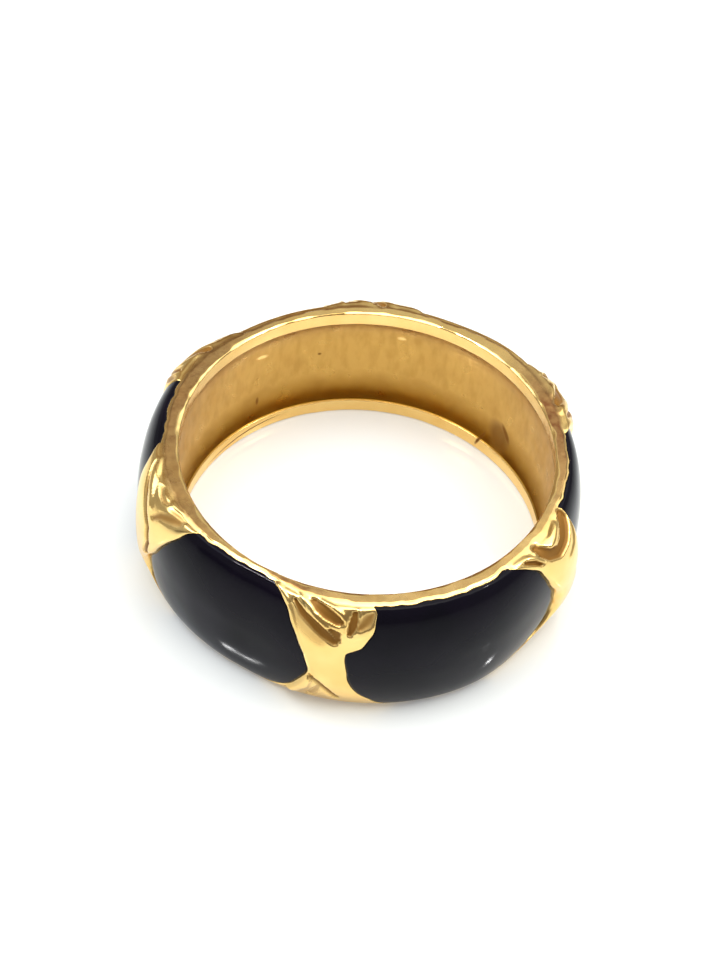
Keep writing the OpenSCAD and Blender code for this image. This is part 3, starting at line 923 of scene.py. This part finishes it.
def gold_material(finish):
    """Cast gold, carved with gravers and polished by hand: a warm mirror with a slow ripple and
    fine polishing lines, a satin hollow inside that is darkened as painted shade, painted shade
    above the lower lip, rims browned partly by wear and partly as a painted dark reflection, and
    brown residue in the cuts that also serves as painted shade there."""
    material, tree, shader = new_material("18 carat yellow gold, cast, carved and hand polished")
    place = node(tree, "ShaderNodeTexCoord", out="Object")
    recess, hollow, dull = (
        node(tree, "ShaderNodeAttribute", out="Fac", attribute_name=name)
        for name in ("recess", "inside", "dull")
    )
    noise = patterned(tree, place, GOLD_PATTERNS)
    # The burnished dents leave out the hollow's painted shade and satin, as painted highlights
    burnished_glints, dirty = (wall_marks(tree, place, marks) for marks in (GLINT_DENTS, MARKS))
    unpolished = node(tree, "ShaderNodeMath", (1.0, burnished_glints), operation="SUBTRACT")
    inside = node(tree, "ShaderNodeMath", (hollow, unpolished), operation="MULTIPLY")
    residue_and_shade_mask = node(tree, "ShaderNodeMapRange", (recess, *RESIDUE_AND_SHADE_CUTS, 0, RESIDUE_AND_SHADE_MOST))
    dirt_and_shade = node(tree, "ShaderNodeMath", (residue_and_shade_mask, dirty), operation="MAXIMUM")
    worn_and_shaded_rim = node(tree, "ShaderNodeMath", (dull, noise["speckle"]), operation="MULTIPLY")

    # Tones over the polished gold: its alloy, the hollow's gold darkened as painted shade, the
    # rims' brown of wear and painted reflection, painted shade above the lower lip, and residue
    # with painted shade in the cuts
    tone = finish.gold
    for factor, over in (
        (noise["alloy"], colour(PALE_GOLD)),
        (inside, finish.hollow),
        (worn_and_shaded_rim, finish.worn),
        (hollow_shade_and_streaks(tree, place, inside, noise), finish.hollow_shade),
        (dirt_and_shade, finish.residue),
    ):
        layers = {"Factor": factor, "A": tone, "B": over}
        tone = node(tree, "ShaderNodeMix", layers, "Result", data_type="RGBA")

    even = node(tree, "ShaderNodeMapRange", (inside, 0, 1, finish.polish, finish.satin))
    rough = node(tree, "ShaderNodeMath", (even, noise["wear"]), operation="MULTIPLY")
    for factor, more in ((dull, DULL_ROUGHNESS), (dirt_and_shade, RESIDUE_ROUGHNESS)):
        rough = node(tree, "ShaderNodeMath", (factor, more, rough), operation="MULTIPLY_ADD")

    relief = {"Height": noise["ripple"], "Distance": RIPPLE_DEPTH * MM}
    rippled = node(tree, "ShaderNodeBump", relief)
    relief = {"Height": noise["lines"], "Distance": LINE_DEPTH * MM, "Normal": rippled}
    # Where residue and painted shade lie, the gold loses its metal and its shine, darkening the
    # cuts
    plug(tree, shader, {
        "Base Color": tone,
        "Metallic": node(tree, "ShaderNodeMapRange", (dirt_and_shade, 0, 1, 1, RESIDUE_AND_SHADE_SHINE)),
        "Specular IOR Level": node(
            tree, "ShaderNodeMapRange", (dirt_and_shade, 0, 1, GOLD_SPECULAR, RESIDUE_AND_SHADE_SHINE)),
        "Roughness": rough,
        "Normal": node(tree, "ShaderNodeBump", relief),
    })
    return material


def enamel_material(finish):
    """Vitreous enamel, fired and stoned: near black glass with a faint violet cast, whose
    reflections bend over the slow swell that the stoning leaves."""
    material, tree, shader = new_material("Black vitreous enamel, fired and polished")
    place = node(tree, "ShaderNodeTexCoord", out="Object")
    noise = patterned(tree, place, ENAMEL_PATTERNS)
    tones = {"Factor": noise["cloud"], "A": finish.enamel, "B": colour(VIOLET_BLACK)}
    relief = {"Height": noise["swell"], "Distance": SWELL_DEPTH * MM}
    plug(tree, shader, {
        "Base Color": node(tree, "ShaderNodeMix", tones, "Result", data_type="RGBA"),
        "IOR": ENAMEL_IOR,
        "Specular IOR Level": ENAMEL_SPECULAR,
        "Roughness": node(
            tree, "ShaderNodeMath", (noise["wear"], finish.gloss), operation="MULTIPLY"),
        "Normal": node(tree, "ShaderNodeBump", relief),
    })
    return material


def table_material(studio):
    """Opal acrylic, lit from below: a bright even white that takes only faint shadows."""
    material, tree, shader = new_material("Opal acrylic, lit from below")
    plug(tree, shader, {
        "Base Color": studio.table,
        "Roughness": ACRYLIC_ROUGHNESS,
        "IOR": ACRYLIC_IOR,
        "Emission Color": colour(ACRYLIC_LIGHT),
        "Emission Strength": studio.glow,
    })
    return material


class MakeBand(bpy.types.Operator):
    """Make the carved gold band"""

    bl_idname = "band_ring.make_band"
    bl_label = "Gold band"
    bl_options = {"REGISTER", "UNDO"}

    def execute(self, context):
        ring = ring_sizes(context.scene)
        azimuth, r, z, recess, inside, dull = band_grid(ring)
        faces = grid_faces(*azimuth.shape, closed=True)
        gold = gold_material(context.scene.ring_finish)
        layers = {"recess": recess, "inside": inside, "dull": dull}
        band = bent_piece("gold_band", ring, [(azimuth, r, z)], faces, gold, layers)
        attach(band, BODY)
        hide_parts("band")
        return {"FINISHED"}


class MakeEnamel(bpy.types.Operator):
    """Make the six domed panels of black enamel"""

    bl_idname = "band_ring.make_enamel"
    bl_label = "Enamel panels"
    bl_options = {"REGISTER", "UNDO"}

    def execute(self, context):
        ring = ring_sizes(context.scene)
        black = enamel_material(context.scene.ring_finish)
        lats = dome_lats(ring)
        for i, name in enumerate(PANEL_NODES):
            skin = panel_points(ring, i, lats, ring.seam, ring.sink)
            under = floor_points(ring, i, lats * UNDER_SHARE, ring.draft + ring.seam, ring.lift)
            faces = slab_faces(*skin[0].shape)
            panel = bent_piece(name + "_glass", ring, [skin, under], faces, black)
            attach(panel, BODY)
            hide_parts(name)
        return {"FINISHED"}


def towards(azimuth, elevation):
    """The direction from the ring to an azimuth and an elevation, in degrees."""
    a, e = math.radians(azimuth), math.radians(elevation)
    return Vector((math.sin(a) * math.cos(e), -math.cos(a) * math.cos(e), math.sin(e)))


def glowing(code, radiance):
    """A tint at a radiance."""
    return tuple(part * radiance for part in colour(code)[:3]) + (1.0,)


def make_room():
    """The room that the gold and the enamel mirror."""
    world = bpy.data.worlds.new("Studio")
    world.use_nodes = True
    bpy.context.scene.world = world
    tree = world.node_tree
    around = node(tree, "ShaderNodeTexCoord", out="Generated")
    light = glowing(*ROOM)
    for azimuth, elevation, radius, code, radiance in PATCHES:
        facing = node(tree, "ShaderNodeVectorMath", (around, towards(azimuth, elevation)), "Value",
                      operation="DOT_PRODUCT")
        edge, core = (math.cos(math.radians(radius * part)) for part in (1, PATCH_CORE))
        lit = node(tree, "ShaderNodeMapRange", (facing, edge, core),
                   interpolation_type="SMOOTHSTEP")
        layers = {"Factor": lit, "A": light, "B": glowing(code, radiance)}
        light = node(tree, "ShaderNodeMix", layers, "Result", data_type="RGBA")
    plug(tree, tree.nodes["Background"], {"Color": light})


def make_lamp(name, azimuth, elevation, width, depth, radiance):
    """A small ceiling lamp that faces the ring, and shows only in what mirrors it."""
    lamp = bpy.data.lights.new(name, "AREA")
    lamp.shape = "RECTANGLE"
    lamp.size, lamp.size_y = width, depth
    lamp.energy = radiance * math.pi * width * depth
    holder = added(name, lamp)
    holder.visible_diffuse = False
    position = towards(azimuth, elevation) * LAMP_DISTANCE
    facing = position.to_track_quat("Z", "Y").to_matrix().to_4x4()
    holder.matrix_world = Matrix.Translation(position) @ facing


def make_camera(studio):
    """The camera, at the photograph's angle to the ring."""
    data = bpy.data.cameras.new("Camera")
    data.lens = studio.lens
    data.clip_start, data.clip_end = CLIP_START, CLIP_END
    camera = added("Camera", data)
    e = studio.elevation
    back = Vector((0, -math.cos(e), math.sin(e)))
    right = Vector((1, 0, 0))
    up = Vector((0, math.sin(e), math.cos(e)))
    s, c = math.sin(studio.roll), math.cos(studio.roll)
    turn = Matrix((right * c - up * s, right * s + up * c, back)).transposed().to_4x4()
    position = back * studio.distance - (right * AIM_ACROSS + up * AIM_UP) * MM
    camera.matrix_world = Matrix.Translation(position) @ turn
    bpy.context.scene.camera = camera


class MakeStage(bpy.types.Operator):
    """Make the table, the lights and the camera"""

    bl_idname = "band_ring.make_stage"
    bl_label = "Studio"
    bl_options = {"REGISTER", "UNDO"}

    def execute(self, context):
        scene = context.scene
        studio = scene.ring_studio
        half = TABLE_SIZE / 2
        corners = [(x * half, y * half, 0) for x, y in ((-1, -1), (1, -1), (1, 1), (-1, 1))]
        mesh = bpy.data.meshes.new("table")
        mesh.from_pydata(corners, [], [(0, 1, 2, 3)])
        mesh.materials.append(table_material(studio))
        table = added("table", mesh)
        table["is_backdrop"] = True
        for lamp in LAMPS:
            make_lamp(*lamp)
        make_room()
        make_camera(studio)
        scene.view_settings.view_transform = "Standard"
        scene.view_settings.exposure = studio.exposure
        scene.cycles.use_denoising = True
        scene.cycles.max_bounces = MOST_BOUNCES
        scene.cycles.glossy_bounces = GLOSSY_BOUNCES
        return {"FINISHED"}


class RingPanel(bpy.types.Panel):
    """The ring's sizes and finishes, and the steps that make it"""

    bl_idname = "VIEW3D_PT_band_ring"
    bl_label = "Band Ring"
    bl_space_type = "VIEW_3D"
    bl_region_type = "UI"
    bl_category = "Band Ring"

    def draw(self, context):
        for step, groups in STEPS:
            box = self.layout.box()
            for name in groups:
                group = getattr(context.scene, name)
                for item in group.__annotations__:
                    box.prop(group, item)
            box.operator(step.bl_idname)


STEPS = (
    (MakeStage, ("ring_studio",)),
    (MakeBand, ("ring_band", "ring_finish")),
    (MakeEnamel, ("ring_enamel",)),
)
GROUPS = (
    ("ring_band", BandSizes),
    ("ring_enamel", EnamelSizes),
    ("ring_finish", Finish),
    ("ring_studio", Studio),
)


def register():
    for name, group in GROUPS:
        bpy.utils.register_class(group)
        setattr(bpy.types.Scene, name, bpy.props.PointerProperty(type=group))
    for step, _ in STEPS:
        bpy.utils.register_class(step)
    bpy.utils.register_class(RingPanel)


def unregister():
    bpy.utils.unregister_class(RingPanel)
    for step, _ in reversed(STEPS):
        bpy.utils.unregister_class(step)
    for name, group in reversed(GROUPS):
        delattr(bpy.types.Scene, name)
        bpy.utils.unregister_class(group)


def main():
    register()
    bpy.ops.band_ring.make_stage()
    bpy.ops.band_ring.make_band()
    bpy.ops.band_ring.make_enamel()
    bpy.context.view_layer.update()
    sizes = {"cad": CAD_BOX, "visual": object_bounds()}
    {name: [list(corner) for corner in box] for name, box in sizes.items()}


if __name__ == "__main__":
    main()
